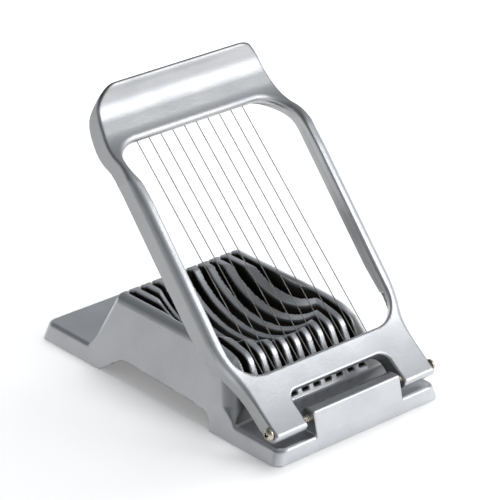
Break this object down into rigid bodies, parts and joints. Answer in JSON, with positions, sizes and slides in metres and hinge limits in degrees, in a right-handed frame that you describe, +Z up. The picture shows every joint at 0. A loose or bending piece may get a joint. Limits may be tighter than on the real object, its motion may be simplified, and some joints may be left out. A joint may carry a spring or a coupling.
{
  "type": "egg slicer",
  "caption": "Die-cast egg slicer: a ribbed base with a slotted egg cradle and a hinged lever frame strung with taut steel cutting wires.",
  "frame": {"origin": "centre of the base's footprint, on the table", "axes": "+Z up, +Y from the hinge towards the tail, +X to the right along the hinge axis"},
  "size_m": [0.0894, 0.1386, 0.1153],
  "materials": {
    "cast_aluminium": "satin die-cast",
    "screw_metal": "nickel-washed",
    "wire_steel": "drawn wire"
  },
  "bodies": {
    "base": {"base_casting": "cast_aluminium", "hinge_screw_left": "screw_metal", "hinge_screw_right": "screw_metal"},
    "lever": {"lever_frame": "cast_aluminium", "cutting_wire_01": "wire_steel", "cutting_wire_02": "wire_steel", "cutting_wire_03": "wire_steel", "cutting_wire_04": "wire_steel", "cutting_wire_05": "wire_steel", "cutting_wire_06": "wire_steel", "cutting_wire_07": "wire_steel", "cutting_wire_08": "wire_steel", "cutting_wire_09": "wire_steel", "cutting_wire_10": "wire_steel"}
  },
  "joints": [
    {"name": "lever_hinge", "type": "hinge", "parent": "base", "child": "lever", "pos_m": [0, -0.06375, 0.0117], "axis": [1, 0, 0], "range_deg": [-39, 130]}
  ]
}
